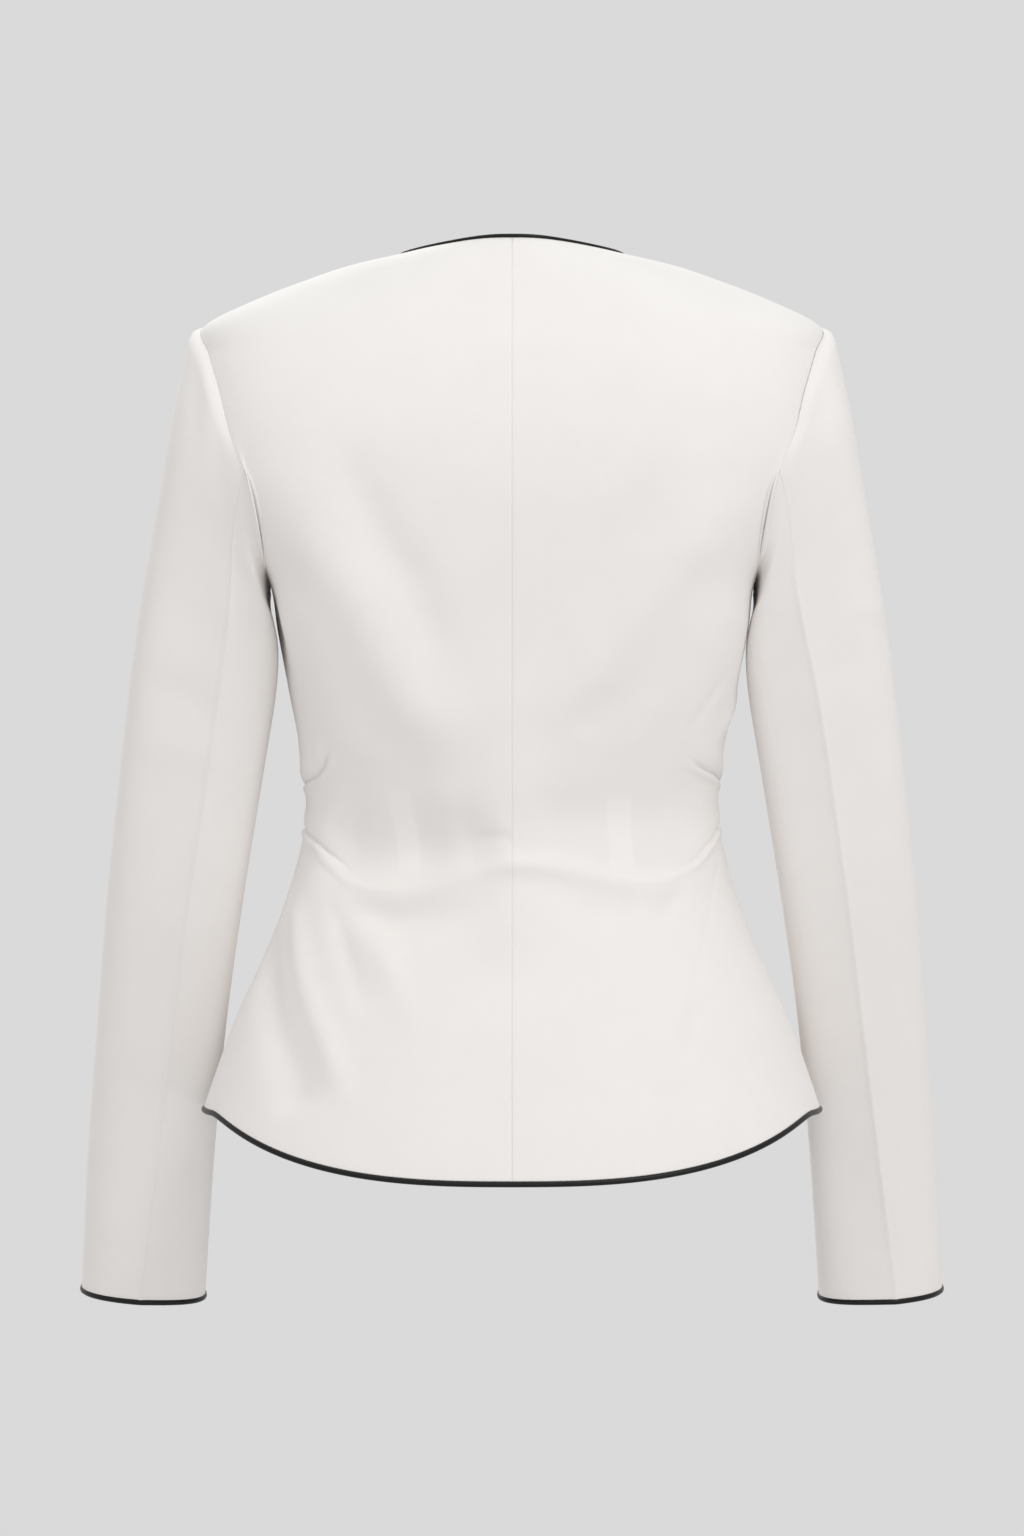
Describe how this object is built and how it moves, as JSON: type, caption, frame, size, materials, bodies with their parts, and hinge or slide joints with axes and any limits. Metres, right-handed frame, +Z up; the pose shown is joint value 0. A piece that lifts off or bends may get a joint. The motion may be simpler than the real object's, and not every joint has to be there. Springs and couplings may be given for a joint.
{
  "type": "fitted jacket",
  "caption": "Fitted collarless jacket in ivory crepe with contrast piping, set-in sleeves, waist tucks and a flared peplum, filled out and hollow.",
  "frame": {"origin": "middle of the neck opening, between the inner ends of the shoulder seams, where the wearer's shoulders hold the jacket up", "axes": "+Z up, +Y the way the wearer faces, +X towards the wearer's right sleeve"},
  "size_m": [0.5782, 0.3094, 0.6972],
  "materials": {
    "crepe": "matte ivory crepe with a soft sheen",
    "piping": "black satin over a cord"
  },
  "bodies": {
    "root": {"back_left": "crepe", "back_right": "crepe", "front_left": "crepe", "front_right": "crepe", "top_sleeve_left": "crepe", "top_sleeve_right": "crepe", "under_sleeve_left": "crepe", "under_sleeve_right": "crepe", "neck_and_front_piping": "piping", "hem_piping": "piping", "cuff_piping_left": "piping", "cuff_piping_right": "piping"}
  },
  "joints": []
}
